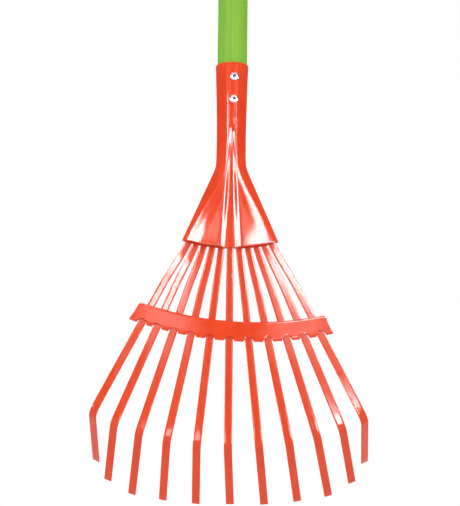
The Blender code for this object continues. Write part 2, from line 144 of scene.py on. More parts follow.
def add_wall(obj: bpy.types.Object, thickness: float, offset: float) -> None:
    """Give an open surface its sheet thickness.

    Args:
        obj: The object with the surface.
        thickness: Thickness of the sheet.
        offset: -1 for a wall inside the surface, 0 for one on both sides.
    """
    wall = obj.modifiers.new("sheet", "SOLIDIFY")
    wall.thickness = thickness
    wall.offset = offset
    wall.use_even_offset = True


def add_soft_edges(
    obj: bpy.types.Object, width: float, segments: int = 2, sharper_than: float = 50.0
) -> None:
    """Round the sharp edges of a piece.

    Args:
        obj: The piece.
        width: Width of the rounding.
        segments: Steps across the rounding.
        sharper_than: Edges that bend by more than this many degrees are rounded.
    """
    edges = obj.modifiers.new("soft_edges", "BEVEL")
    edges.width = width
    edges.segments = segments
    edges.limit_method = "ANGLE"
    edges.angle_limit = math.radians(sharper_than)
    edges.harden_normals = False
    edges.use_clamp_overlap = True


def add_cut(obj: bpy.types.Object, cutter: bpy.types.Object, operation: str = "DIFFERENCE") -> None:
    """Cut an object with another, or join it to another.

    Args:
        obj: The object that is changed.
        cutter: The object that cuts or joins it.
        operation: DIFFERENCE or UNION.
    """
    cut = obj.modifiers.new(cutter.name, "BOOLEAN")
    cut.operation = operation
    cut.solver = "EXACT"
    cut.object = cutter


def drop_object(obj: bpy.types.Object) -> None:
    """Remove a helper object and its mesh.

    Args:
        obj: The helper, which nothing uses any more.
    """
    mesh = obj.data
    bpy.data.objects.remove(obj)
    bpy.data.meshes.remove(mesh)


def smooth(obj: bpy.types.Object, sharp_from: float = 32.0) -> bpy.types.Object:
    """Shade a piece smooth, except over its sharp edges.

    Args:
        obj: The piece.
        sharp_from: Edges that bend by more than this many degrees stay sharp.

    Returns:
        The same piece.
    """
    obj.data.shade_smooth()
    obj.data.set_sharp_from_angle(angle=math.radians(sharp_from))
    return obj


def turned(
    name: str, profile: list[Point], steps: int, place: Matrix = Matrix.Identity(4)
) -> bpy.types.Object:
    """Turn a closed profile about an axis.

    Args:
        name: The object's name.
        profile: Points as (radius, height), in order round the section; it may start and end on the axis.
        steps: Steps round the full turn.
        place: Where the axis stands.

    Returns:
        The turned object, with its place in its mesh.
    """
    bm = bmesh.new()
    verts = [bm.verts.new((radius, 0.0, height)) for radius, height in profile]
    edges = [bm.edges.new(pair) for pair in zip(verts, verts[1:])]
    if profile[0][0] > 0.0:
        edges.append(bm.edges.new((verts[-1], verts[0])))
    bmesh.ops.spin(
        bm, geom=verts + edges, cent=(0, 0, 0), axis=(0, 0, 1), dvec=(0, 0, 0),
        angle=2 * math.pi, steps=steps, use_merge=True,
    )
    tidy_shell(bm)
    bmesh.ops.transform(bm, matrix=place, verts=bm.verts)
    return as_object(name, bm)


def mapped_grid(
    name: str, columns: int, rows: int, place: Callable[[int, int], Vector]
) -> bpy.types.Object:
    """Lay a grid on a surface.

    Args:
        name: The object's name.
        columns: Steps of the grid across.
        rows: Steps of the grid along.
        place: Gives the surface point for a column and a row.

    Returns:
        The object; edges of the grid that meet are merged.
    """
    bm = bmesh.new()
    bmesh.ops.create_grid(bm, x_segments=columns, y_segments=rows, size=0.5)
    for vert in bm.verts:
        vert.co = place(round((vert.co.x + 0.5) * columns), round((vert.co.y + 0.5) * rows))
    tidy_shell(bm)
    return as_object(name, bm)


def drill(name: str, radius: float, depth: float, place: Matrix, segments: int = 48) -> bpy.types.Object:
    """Make a round cutter.

    Args:
        name: The cutter's name.
        radius: Radius of the hole that it cuts.
        depth: Length of the cutter, half of it on each side of its place.
        place: Where it stands, with its axis along local Z.
        segments: Sides of the cutter.

    Returns:
        The cutter.
    """
    bm = bmesh.new()
    bmesh.ops.create_cone(
        bm, cap_ends=True, segments=segments, radius1=radius, radius2=radius, depth=depth, matrix=place,
    )
    return as_object(name, bm)


# ---- Finishes ----

class Slot(Enum):
    """Material slots of the record."""

    HANDLE = "handle_paint"
    HEAD = "head_paint"
    TINES = "tine_paint"
    CAP = "cap_plastic"
    RIVET = "rivet_aluminium"
    MANDREL = "mandrel_steel"


class Recipe:
    """A material's node tree, with short calls for the nodes that the finishes share."""

    def __init__(self, name: str) -> None:
        """Start a material with one Principled shader.

        Args:
            name: The material's name.
        """
        self.material = bpy.data.materials.new(name)
        self.material.use_nodes = True
        self.tree = self.material.node_tree
        self.shader = self.tree.nodes["Principled BSDF"]
        self.coords = self.add("ShaderNodeTexCoord").outputs["Object"]

    def add(self, kind: str, **values: object) -> bpy.types.Node:
        """Add a node.

        Args:
            kind: The node's type.
            **values: Its properties, by name.

        Returns:
            The node.
        """
        node = self.tree.nodes.new(kind)
        for key, value in values.items():
            setattr(node, key, value)
        return node

    def link(self, source: bpy.types.NodeSocket, target: bpy.types.NodeSocket) -> None:
        """Join an output to an input."""
        self.tree.links.new(source, target)

    def constant(self, **values: object) -> None:
        """Set sockets of the shader, named with _ for each space."""
        for key, value in values.items():
            self.shader.inputs[key.replace("_", " ")].default_value = value

    def noise(
        self, scale: float, detail: float = 2.0, stretch: Triple = (1, 1, 1)
    ) -> bpy.types.NodeSocket:
        """Noise on the object's own coordinates.

        Args:
            scale: Features to the metre.
            detail: Finer layers of noise.
            stretch: Scale along X, Y and Z, under 1 to draw the pattern out.

        Returns:
            The noise's value.
        """
        mapping = self.add("ShaderNodeMapping")
        mapping.inputs["Scale"].default_value = stretch
        self.link(self.coords, mapping.inputs["Vector"])
        texture = self.add("ShaderNodeTexNoise")
        texture.inputs["Scale"].default_value = scale
        texture.inputs["Detail"].default_value = detail
        self.link(mapping.outputs["Vector"], texture.inputs["Vector"])
        return texture.outputs["Fac"]

    def ramp(
        self, value: bpy.types.NodeSocket, low: float, high: float, to_low: float, to_high: float
    ) -> bpy.types.NodeSocket:
        """Map a range of values on to another, clamped at both ends.

        Args:
            value: The value.
            low: Where its range starts.
            high: Where its range ends.
            to_low: What the start becomes.
            to_high: What the end becomes.

        Returns:
            The mapped value.
        """
        node = self.add("ShaderNodeMapRange", clamp=True)
        ends = {"From Min": low, "From Max": high, "To Min": to_low, "To Max": to_high}
        for key, number in ends.items():
            node.inputs[key].default_value = number
        self.link(value, node.inputs["Value"])
        return node.outputs["Result"]

    def multiply(self, first: bpy.types.NodeSocket, second: bpy.types.NodeSocket) -> bpy.types.NodeSocket:
        """Multiply two values.

        Args:
            first: A value.
            second: Another value.

        Returns:
            Their product.
        """
        node = self.add("ShaderNodeMath", operation="MULTIPLY")
        self.link(first, node.inputs[0])
        self.link(second, node.inputs[1])
        return node.outputs["Value"]

    def mix(
        self, share: bpy.types.NodeSocket, first: bpy.types.NodeSocket | Triple, second: Triple
    ) -> bpy.types.NodeSocket:
        """Mix two colours.

        Args:
            share: How much of the second shows.
            first: A colour, or the socket of an earlier mix.
            second: A colour.

        Returns:
            The mixed colour.
        """
        node = self.add("ShaderNodeMix", data_type="RGBA")
        if isinstance(first, bpy.types.NodeSocket):
            self.link(first, node.inputs["A"])
        else:
            node.inputs["A"].default_value = (*first, 1.0)
        node.inputs["B"].default_value = (*second, 1.0)
        self.link(share, node.inputs["Factor"])
        return node.outputs["Result"]

    def edges(self, low: float, high: float) -> bpy.types.NodeSocket:
        """A value that rises on outer edges, from the surface's own curvature."""
        return self.ramp(self.add("ShaderNodeNewGeometry").outputs["Pointiness"], low, high, 0.0, 1.0)

    def bump(self, height: bpy.types.NodeSocket, strength: float, distance: float) -> None:
        """Raise the surface by a height pattern.

        Args:
            height: The pattern.
            strength: How strongly it shows, from 0 to 1.
            distance: Height of the relief.
        """
        node = self.add("ShaderNodeBump")
        node.inputs["Strength"].default_value = strength
        node.inputs["Distance"].default_value = distance
        self.link(height, node.inputs["Height"])
        self.link(node.outputs["Normal"], self.shader.inputs["Normal"])


@dataclass(frozen=True)
class PowderCoat:
    """Glossy powder coat on sheet steel: faint orange peel, thinner and duller over the edges, where the
    darker orange is also painted shade along the edges and outlines.
    """

    name: str = "orange_powder_coat"
    colour: Triple = (0.95, 0.078, 0.020)
    deep: Triple = (0.87, 0.058, 0.014)
    # Edge colour: partly a thinner, duller coat, partly painted shade that darkens the edges and outlines.
    edge_wear_and_shade: Triple = (0.66, 0.085, 0.040)
    roughness: tuple[float, float] = (0.07, 0.12)
    peel_size: float = 1.6 * MM
    peel_strength: float = 0.12

    def make(self) -> bpy.types.Material:
        """Build the material.

        Returns:
            The material.
        """
        recipe = Recipe(self.name)
        cloud = recipe.ramp(recipe.noise(28.0, 3.0), 0.35, 0.7, 0.0, 1.0)
        base = recipe.mix(cloud, self.colour, self.deep)
        patches = recipe.ramp(recipe.noise(350.0, 4.0), 0.4, 0.62, 0.15, 0.8)
        # Curved edges take the edge colour in patches: partly real wear, partly painted shade along the
        # edges.
        edge_wear_and_shade = recipe.multiply(recipe.edges(0.53, 0.62), patches)
        recipe.link(recipe.mix(edge_wear_and_shade, base, self.edge_wear_and_shade), recipe.shader.inputs["Base Color"])
        rough = recipe.ramp(recipe.noise(160.0, 4.0), 0.3, 0.7, *self.roughness)
        recipe.link(rough, recipe.shader.inputs["Roughness"])
        recipe.bump(recipe.noise(1.0 / self.peel_size, 1.5), self.peel_strength, 0.15 * MM)
        recipe.constant(Specular_IOR_Level=0.27)
        return recipe.material


@dataclass(frozen=True)
class TubePaint:
    """Wet paint drawn along a steel tube, with faint lengthwise streaks and rubs."""

    name: str = "green_tube_paint"
    colour: Triple = (0.27, 0.56, 0.035)
    deep: Triple = (0.20, 0.50, 0.045)
    rubbed: Triple = (0.34, 0.60, 0.10)

    def make(self) -> bpy.types.Material:
        """Build the material.

        Returns:
            The material.
        """
        recipe = Recipe(self.name)
        streaks = recipe.ramp(recipe.noise(420.0, 3.0, (1, 1, 0.02)), 0.35, 0.68, 0.0, 1.0)
        base = recipe.mix(streaks, self.colour, self.deep)
        rubs = recipe.ramp(recipe.noise(60.0, 6.0, (1, 1, 0.4)), 0.64, 0.72, 0.0, 0.5)
        recipe.link(recipe.mix(rubs, base, self.rubbed), recipe.shader.inputs["Base Color"])
        rough = recipe.ramp(recipe.noise(260.0, 4.0, (1, 1, 0.1)), 0.3, 0.7, 0.55, 0.7)
        recipe.link(rough, recipe.shader.inputs["Roughness"])
        recipe.bump(recipe.noise(500.0, 2.0, (1, 1, 0.15)), 0.08, 0.12 * MM)
        recipe.constant(Specular_IOR_Level=0.12)
        return recipe.material


@dataclass(frozen=True)
class MouldedPlastic:
    """Dark moulded plastic with a fine spark-eroded grain."""

    name: str = "black_moulded_plastic"
    colour: Triple = (0.022, 0.022, 0.024)
    scuffed: Triple = (0.075, 0.075, 0.078)

    def make(self) -> bpy.types.Material:
        """Build the material.

        Returns:
            The material.
        """
        recipe = Recipe(self.name)
        patches = recipe.ramp(recipe.noise(300.0, 5.0), 0.35, 0.65, 0.1, 0.9)
        scuffs = recipe.multiply(recipe.edges(0.51, 0.6), patches)
        recipe.link(recipe.mix(scuffs, self.colour, self.scuffed), recipe.shader.inputs["Base Color"])
        rough = recipe.ramp(recipe.noise(140.0, 3.0), 0.3, 0.7, 0.42, 0.58)
        recipe.link(rough, recipe.shader.inputs["Roughness"])
        recipe.bump(recipe.noise(2600.0, 2.0), 0.25, 0.08 * MM)
        return recipe.material


@dataclass(frozen=True)
class BareMetal:
    """Metal without paint, with fine scratches drawn one way."""

    name: str
    colour: Triple
    dull: Triple
    roughness: tuple[float, float]

    def make(self) -> bpy.types.Material:
        """Build the material.

        Returns:
            The material.
        """
        recipe = Recipe(self.name)
        stain = recipe.ramp(recipe.noise(900.0, 4.0), 0.35, 0.7, 0.0, 0.6)
        recipe.link(recipe.mix(stain, self.colour, self.dull), recipe.shader.inputs["Base Color"])
        rough = recipe.ramp(recipe.noise(2400.0, 3.0, (1, 1, 0.2)), 0.3, 0.7, *self.roughness)
        recipe.link(rough, recipe.shader.inputs["Roughness"])
        recipe.bump(recipe.noise(3200.0, 2.0, (1, 1, 0.15)), 0.1, 0.03 * MM)
        recipe.constant(Metallic=1.0)
        return recipe.material


TINE_COAT = PowderCoat(
    "orange_tine_coat", colour=(0.87, 0.080, 0.023), deep=(0.82, 0.064, 0.018), roughness=(0.09, 0.14),
)
BRACE_COAT = PowderCoat("orange_brace_coat", roughness=(0.06, 0.12), peel_strength=0.3)
ALUMINIUM = BareMetal("rivet_aluminium_bare", (0.86, 0.87, 0.88), (0.66, 0.67, 0.69), (0.14, 0.26))
# The mandrel's steel is set near black: painted shade of the hollow bore in the rivet's head, where the
# stem's top shows.
MANDREL_STEEL_AND_HOLE_SHADE = BareMetal("mandrel_steel_and_hole_shade", (0.05, 0.05, 0.055), (0.02, 0.02, 0.02), (0.45, 0.6))


@dataclass
class Workshop:
    """Dresses finished pieces and puts them on their bodies."""

    finishes: dict[Slot, bpy.types.Material] = field(default_factory=dict)
    pieces: list[bpy.types.Object] = field(default_factory=list)

    def finish(self, slot: Slot, recipe: PowderCoat | TubePaint | MouldedPlastic | BareMetal) -> None:
        """Make a slot's material."""
        self.finishes[slot] = recipe.make()

    def dress(
        self, obj: bpy.types.Object, slot: Slot, own_finish: bpy.types.Material | None = None
    ) -> bpy.types.Object:
        """Give a piece its slot and a finish.

        Args:
            obj: The piece.
            slot: Its material slot.
            own_finish: A finish in place of the slot's.

        Returns:
            The piece.
        """
        obj.data.materials.clear()
        obj.data.materials.append(own_finish or self.finishes[slot])
        self.pieces.append(obj)
        return obj

    def fix(
        self, obj: bpy.types.Object, slot: Slot, body: str, *nodes: str,
        own_finish: bpy.types.Material | None = None,
    ) -> bpy.types.Object:
        """Dress a piece, put it on a body and let it stand for nodes of the frame.

        Args:
            obj: The finished piece.
            slot: Its material slot.
            body: The body that it rides on.
            nodes: The nodes that it stands for.
            own_finish: A finish in place of the slot's.

        Returns:
            The piece.
        """
        self.dress(obj, slot, own_finish)
        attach(obj, body)
        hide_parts(*nodes)
        return obj


# ---- Socket ----

@dataclass
class Socket:
    """The pressed steel socket: a tapered neck that flares into a flat pocket with two lobes."""

    wall: float = 1.0 * MM
    neck_radius_low: float = 10.95 * MM
    taper_length: float = 60.0 * MM
    taper_power: float = 1.6
    flare_length: float = 61.5 * MM
    flare_blend: float = 3.0 * MM
    flare_ease: float = 10.0 * MM
    lip_sag: float = 5.2 * MM
    lobe_depth: float = 5.4 * MM
    back_depth: float = 2.0 * MM
    back_squareness: float = 12.0
    groove_start: float = 44.0 * MM
    groove_half: float = 2.2 * MM
    groove_slope: float = 7.0 * MM
    groove_narrowest: float = 0.35
    groove_growth: float = 1.3
    lobe_fullness: float = 0.3
    seam_half: float = 0.5 * MM
    seam_depth: float = 0.35 * MM
    seam_fade_drop: float = 22.0 * MM
    seam_fade_length: float = 18.0 * MM
    rivet_turn: float = math.radians(5.9)
    drill_depth: float = 8.0 * MM
    edge_radius: float = 0.3 * MM
    rows: int = 110
    front_columns: int = 96
    back_columns: int = 64

    def __post_init__(self) -> None:
        """Take the socket's place and outer sizes from the frame."""
        low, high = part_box("socket")
        self.rim_z = high.z
        self.length = high.z - low.z
        self.mouth_half = high.x
        self.rim_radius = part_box("handle_tube")[1].x + FIT_GAP + self.wall
        self.flare_start = self.length - self.flare_length
        rise = self.flare_length - self.lip_sag
        self.slope = (self.mouth_half - self.neck_radius_low) / rise

    def neck_radius(self, drop: float) -> float:
        """Outer radius of the tapered neck at a distance below the rim."""
        left = max(0.0, 1.0 - drop / self.taper_length)
        return self.neck_radius_low + (self.rim_radius - self.neck_radius_low) * left ** self.taper_power

    def half_width(self, drop: float) -> float:
        """Outer half-width of the neck and of the straight-sided flare below it."""
        beyond = drop - self.flare_start
        return self.neck_radius(drop) + self.slope * (beyond + math.hypot(beyond, self.flare_blend)) / 2

    def groove(self, across: float, share: float, front: float) -> float:
        """Depth of the central groove at a distance across.

        Args:
            across: Distance from the middle.
            share: How far the groove has opened, from 0 to 1.
            front: Depth of the front wall without it.

        Returns:
            How far the wall is pressed in.
        """
        slope_width = self.groove_slope * (self.groove_narrowest + (1.0 - self.groove_narrowest) * share)
        fade = 1.0 - smoothstep((abs(across) - self.groove_half * share) / slope_width)
        return (front - self.back_depth) * share * fade

    def seam(self, drop: float, turn: float) -> float:
        """Depth of the butt seam down the back, where the rolled sheet's edges meet.

        Args:
            drop: Distance below the rim.
            turn: Angle round the socket from the front middle.

        Returns:
            How far the wall is pressed in.
        """
        across = (math.pi - abs(turn)) * self.neck_radius(drop)
        fade = smoothstep((self.flare_start + self.seam_fade_drop - drop) / self.seam_fade_length)
        return self.seam_depth * fade * (1.0 - smoothstep(across / self.seam_half))

    def point(self, drop: float, turn: float) -> Vector:
        """Point of the outer surface.

        Args:
            drop: Distance below the rim.
            turn: Angle round the socket, 0 at the front middle and rising to +X.

        Returns:
            The point.
        """
        share = smoothstep(
            (drop - self.flare_start + self.flare_ease) / (self.length - self.flare_start + self.flare_ease)
        )
        half_width = self.half_width(drop - self.lip_sag * share)
        radius = self.neck_radius(drop)
        across = half_width * math.sin(turn)
        if abs(turn) <= math.pi / 2:
            front = radius + (self.lobe_depth - radius) * share
            fullness = 1.0 - self.lobe_fullness * share
            depth = front * math.cos(turn) ** fullness if abs(turn) < math.pi / 2 else 0.0
            run = max(0.0, (drop - self.groove_start) / (self.length - self.groove_start))
            opened = run ** self.groove_growth
            y = -depth + self.groove(across, opened, front) * min(1.0, depth / front)
        else:
            back = radius + (self.back_depth - radius) * share
            power = 2.0 + (self.back_squareness - 2.0) * share
            y = back * (1.0 - abs(math.sin(turn)) ** power) ** (1.0 / power) - self.seam(drop, turn)
        return Vector((across, y, self.rim_z - drop + self.lip_sag * share * (across / half_width) ** 2))

    def rivet_place(self, height: float) -> Matrix:
        """Find where a rivet stands.

        Args:
            height: The rivet's height.

        Returns:
            A place with local +Z along the rivet, pointing out, and the head's seat on the neck.
        """
        outward = Vector((math.sin(self.rivet_turn), -math.cos(self.rivet_turn), 0.0))
        seat = outward * (self.neck_radius(self.rim_z - height) + FIT_GAP)
        seat.z = height
        return Matrix.Translation(seat) @ outward.to_track_quat("Z", "Y").to_matrix().to_4x4()

    def add_rivet_holes(
        self, obj: bpy.types.Object, heights: list[float], radius: float
    ) -> list[bpy.types.Object]:
        """Cut the rivets' holes through a wall.

        Args:
            obj: The socket's shell or the handle's tube.
            heights: Heights of the rivets.
            radius: Radius of the holes.

        Returns:
            The cutters, to drop once the cuts are applied.
        """
        cutters = []
        for height in heights:
            cutter = drill(f"{obj.name}_drill", radius, self.drill_depth, self.rivet_place(height))
            add_cut(obj, cutter)
            cutters.append(cutter)
        return cutters

    def build(self, shop: Workshop, rivet_heights: list[float], hole_radius: float) -> None:
        """Build the shell with its wall, its rivet holes and its rounded rim and lip.

        Args:
            shop: Dresses the shell.
            rivet_heights: Heights of the rivets.
            hole_radius: Radius of their holes.
        """
        front = crowded(self.front_columns, math.pi / 2, 0.4)
        steps = self.back_columns
        back = []
        for step in range(1, steps + 1):
            share = step / steps
            eased = 0.5 - 0.5 * math.copysign(abs(1.0 - 2.0 * share) ** 1.6, 1.0 - 2.0 * share)
            back.append(math.pi / 2 + math.pi * eased)
        turns = front + back

        def place(column: int, row: int) -> Vector:
            """Point of the shell for a column round it and a row down it."""
            turn = turns[column] if turns[column] <= math.pi else turns[column] - 2 * math.pi
            return self.point(self.length * row / self.rows, turn)

        shell = mapped_grid("socket_shell", len(turns) - 1, self.rows, place)
        add_wall(shell, self.wall, -1.0)
        drills = self.add_rivet_holes(shell, rivet_heights, hole_radius)
        add_soft_edges(shell, self.edge_radius, 3)
        apply_modifiers(shell)
        for cutter in drills:
            drop_object(cutter)
        shop.fix(smooth(shell, 45.0), Slot.HEAD, "rake", "socket")


# ---- Rivets ----

@dataclass
class BlindRivet:
    """A blind rivet with its domed head and set tail, and the mandrel's stem broken off in the head."""

    node: str
    socket: Socket
    handle_wall: float = 1.0 * MM
    head_radius: float = 3.1 * MM
    head_height: float = 1.25 * MM
    rim_height: float = 0.25 * MM
    shank_radius: float = 1.6 * MM
    bore_radius: float = 1.3 * MM
    stem_gap: float = 0.06 * MM
    bulb_radius: float = 2.4 * MM
    bulb_length: float = 4.0 * MM
    stem_rise: float = 0.7 * MM
    ball_radius: float = 1.5 * MM

    def __post_init__(self) -> None:
        """Take the rivet's height from the frame."""
        low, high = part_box(self.node)
        self.height = (low.z + high.z) / 2
        self.place = self.socket.rivet_place(self.height)

    @property
    def hole_radius(self) -> float:
        """Radius of the hole that the shank stands in."""
        return self.shank_radius + FIT_GAP

    def head_profile(self) -> list[Point]:
        """Section of the dome, from its chamfered bore to its rounded rim.

        Returns:
            Points as (radius, height over the seat).
        """
        points = [
            (self.bore_radius, self.head_height - 0.3 * MM),
            (self.bore_radius + 0.06 * MM, self.head_height - 0.08 * MM),
        ]
        inner = self.bore_radius + 0.16 * MM
        for step in range(15):
            angle = math.pi / 2 * step / 14
            radius = inner + (self.head_radius - 0.12 * MM - inner) * math.sin(angle)
            rise = (self.head_height - self.rim_height) * math.cos(angle)
            points.append((radius, self.rim_height + rise))
        points += [(self.head_radius, self.rim_height - 0.08 * MM), (self.head_radius - 0.06 * MM, 0.0)]
        return points

    def build(self, shop: Workshop) -> None:
        """Build the rivet and its mandrel.

        Args:
            shop: Dresses them.
        """
        grip = self.socket.wall + self.handle_wall + 3 * FIT_GAP
        tail = grip + self.bulb_length
        profile = self.head_profile() + [
            (self.shank_radius, 0.0),
            (self.shank_radius, -grip),
            (self.bulb_radius * 0.93, -grip - self.bulb_length * 0.15),
            (self.bulb_radius, -grip - self.bulb_length * 0.35),
            (self.bulb_radius * 0.95, -grip - self.bulb_length * 0.6),
            (self.shank_radius * 1.1, -tail * 0.98),
            (self.shank_radius, -tail),
            (self.bore_radius, -tail),
        ]
        rivet = turned(f"{self.node}_domed", profile, 64, self.place)
        shop.fix(smooth(rivet, 40.0), Slot.RIVET, "rake", self.node)
        stem_radius = self.bore_radius - self.stem_gap
        ball_top = -tail - FIT_GAP
        stem = [
            (0.0, self.stem_rise + 0.1 * MM),
            (stem_radius * 0.5, self.stem_rise + 0.02 * MM),
            (stem_radius * 0.85, self.stem_rise - 0.06 * MM),
            (stem_radius, self.stem_rise - 0.25 * MM),
            (stem_radius, ball_top),
            (self.ball_radius, ball_top),
            (self.ball_radius, ball_top - self.ball_radius * 0.9),
            (self.ball_radius * 0.7, ball_top - self.ball_radius * 1.4),
            (0.0, ball_top - self.ball_radius * 1.6),
        ]
        # The stem's top sits in the head's bore; its near-black finish is painted shade of that hollow.
        mandrel = turned(f"{self.node}_mandrel_stem", stem, 40, self.place)
        shop.fix(smooth(mandrel, 40.0), Slot.MANDREL, "rake", f"{self.node}_mandrel")


# ---- Handle ----

@dataclass
class Handle:
    """The painted tube, swaged at its lower end to follow the inside of the socket, and its end cap."""

    socket: Socket
    wall: float = 1.0 * MM
    insert: float = 42.0 * MM
    steps: int = 128
    cap_wall: float = 1.6 * MM
    skirt_length: float = 30.0 * MM
    crown_height: float = 4.0 * MM
    tab_thickness: float = 8.0 * MM
    tab_radius: float = 10.5 * MM
    hang_hole_radius: float = 4.5 * MM
    grip_lines: int = 3
    grip_first: float = 5.0 * MM
    grip_pitch: float = 3.0 * MM

    def __post_init__(self) -> None:
        """Take the tube's ends and radius from the frame."""
        low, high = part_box("handle_tube")
        self.radius = high.x
        self.top_z = high.z
        self.foot_z = low.z

    def build_tube(self, shop: Workshop, rivet_heights: list[float], hole_radius: float) -> None:
        """Turn the tube and drill it for the rivets.

        Args:
            shop: Dresses the tube.
            rivet_heights: Heights of the rivets.
            hole_radius: Radius of their holes.
        """
        edge = 0.25 * MM
        outer = [(self.radius - edge, self.top_z), (self.radius, self.top_z - edge)]
        swage_steps = 20
        for step in range(swage_steps + 1):
            drop = self.insert * step / swage_steps
            fitted = self.socket.neck_radius(drop) - self.socket.wall - FIT_GAP
            outer.append((min(self.radius, fitted), self.socket.rim_z - drop))
        inner = [(radius - self.wall, height) for radius, height in reversed(outer[1:])]
        inner.append((self.radius - self.wall, self.top_z))
        tube = turned("handle_tube_painted", outer + inner, self.steps)
        drills = self.socket.add_rivet_holes(tube, rivet_heights, hole_radius)
        apply_modifiers(tube)
        for cutter in drills:
            drop_object(cutter)
        shop.fix(smooth(tube), Slot.HANDLE, "rake", "handle_tube")

    def tab(self, foot_z: float, foot_half: float) -> bpy.types.Object:
        """Make the flat tab above the cap, with its hang hole.

        Args:
            foot_z: Height of the tab's foot, inside the crown.
            foot_half: Half of the width at the foot.

        Returns:
            The tab.
        """
        bm = bmesh.new()
        start = math.radians(-10)
        steps = 48
        rim = []
        for step in range(steps + 1):
            angle = start + (math.pi - 2 * start) * step / steps
            rim.append((self.tab_radius * math.cos(angle), self.tab_radius * math.sin(angle)))
        outline = [(foot_half, foot_z)] + rim + [(-foot_half, foot_z)]
        half = self.tab_thickness / 2
        face = bm.faces.new([bm.verts.new((across, -half, height)) for across, height in outline])
        grown = bmesh.ops.extrude_face_region(bm, geom=[face])
        moved = [item for item in grown["geom"] if isinstance(item, bmesh.types.BMVert)]
        bmesh.ops.translate(bm, verts=moved, vec=(0.0, self.tab_thickness, 0.0))
        tidy_shell(bm)
        tab = as_object("cap_tab", bm)
        along_y = Vector((0, 1, 0)).to_track_quat("Z", "Y").to_matrix().to_4x4()
        cutter = drill("hang_drill", self.hang_hole_radius, 4 * self.tab_thickness, along_y, 64)
        add_cut(tab, cutter)
        add_soft_edges(tab, 0.9 * MM, 4, 40.0)
        apply_modifiers(tab)
        drop_object(cutter)
        return tab

    def build_cap(self, shop: Workshop) -> None:
        """Turn the cap with its rounded crown and grip lines, and join the tab to it.

        Args:
            shop: Dresses the cap.
        """
        inner_radius = self.radius + FIT_GAP
        outer_radius = inner_radius + self.cap_wall
        seat_z = self.top_z + FIT_GAP
        crown_z = seat_z + self.crown_height
        profile = [(0.0, crown_z)]
        corner = 2.5 * MM
        for step in range(9):
            angle = math.pi / 2 * step / 8
            across = outer_radius - corner + corner * math.sin(angle)
            profile.append((across, crown_z - corner + corner * math.cos(angle)))
        foot_z = crown_z - self.skirt_length
        for line in range(self.grip_lines):
            middle = foot_z + self.grip_first + self.grip_pitch * (self.grip_lines - 1 - line)
            # Section of one grip line as (rise, depth) in millimetres
            for rise, depth in ((0.8, 0.0), (0.35, 0.45), (-0.35, 0.45), (-0.8, 0.0)):
                profile.append((outer_radius - depth * MM, middle + rise * MM))
        profile += [
            (outer_radius, foot_z + 0.4 * MM),
            (outer_radius - 0.4 * MM, foot_z),
            (inner_radius + 0.2 * MM, foot_z),
            (inner_radius, foot_z + 0.3 * MM),
            (inner_radius, seat_z),
            (0.0, seat_z),
        ]
        cap = turned("end_cap_moulded", profile, 96)
        tab = self.tab(seat_z + self.crown_height / 2, outer_radius - 3.0 * MM)
        add_cut(cap, tab, "UNION")
        apply_modifiers(cap)
        drop_object(tab)
        shop.fix(smooth(cap), Slot.CAP, "rake", "end_cap")


# ---- Fan of tines ----

@dataclass
class Fan:
    """The surface that the tines lie in, and the brace's arc across it."""

    socket: Socket
    count: int = 11
    lip_radius: float = 66.0 * MM
    cup_start: float = 72.0 * MM
    cup_depth: float = 3.6 * MM
    pitch_tan: float = 0.1033
    pitch_ease: float = 0.019
    gather_share: float = 0.055
    gather_length: float = 40.0 * MM
    knee_distance: float = 212.8 * MM
    knee_skew: float = 0.012

    def __post_init__(self) -> None:
        """Place the fan's apex above the socket's lip."""
        self.apex = Vector((0.0, 0.0, self.socket.rim_z - self.socket.length + self.lip_radius))
        self.outer_index = self.count // 2
        self.outer_angle = math.atan(self.pitch_tan * self.outer_index)

    def depth(self, radius: float, angle: float) -> float:
        """How far the surface lies behind the flat plane of the pocket."""
        run = max(0.0, radius - self.cup_start) / (self.knee_distance - self.cup_start)
        return self.cup_depth * run * (angle / self.outer_angle) ** 2

    def point(self, radius: float, angle: float) -> Vector:
        """Point of the surface, by distance from the apex and angle from the axis."""
        flat = Vector((radius * math.sin(angle), 0.0, -radius * math.cos(angle)))
        return self.apex + flat + Vector((0.0, self.depth(radius, angle), 0.0))

    def tine_angle(self, index: int, radius: float) -> float:
        """Angle of a tine; the tines are gathered a little towards the pocket.

        Args:
            index: Place of the tine from the middle one, rising to +X.
            radius: Distance from the apex.

        Returns:
            The angle from the axis.
        """
        apart = smoothstep((radius - self.lip_radius) / self.gather_length)
        ease = 1.0 + self.pitch_ease * (1.0 - (index / self.outer_index) ** 2)
        gathered = 1.0 - self.gather_share * (1.0 - apart)
        return math.atan(self.pitch_tan * index * ease * gathered)

    def knee_radius(self, index: int) -> float:
        """Distance of a tine's knee from the apex."""
        return self.knee_distance * (1.0 + self.knee_skew * self.tine_angle(index, self.knee_distance))


@dataclass
class Station:
    """One cross-section of a strip."""

    point: Vector
    across: Vector
    width: float


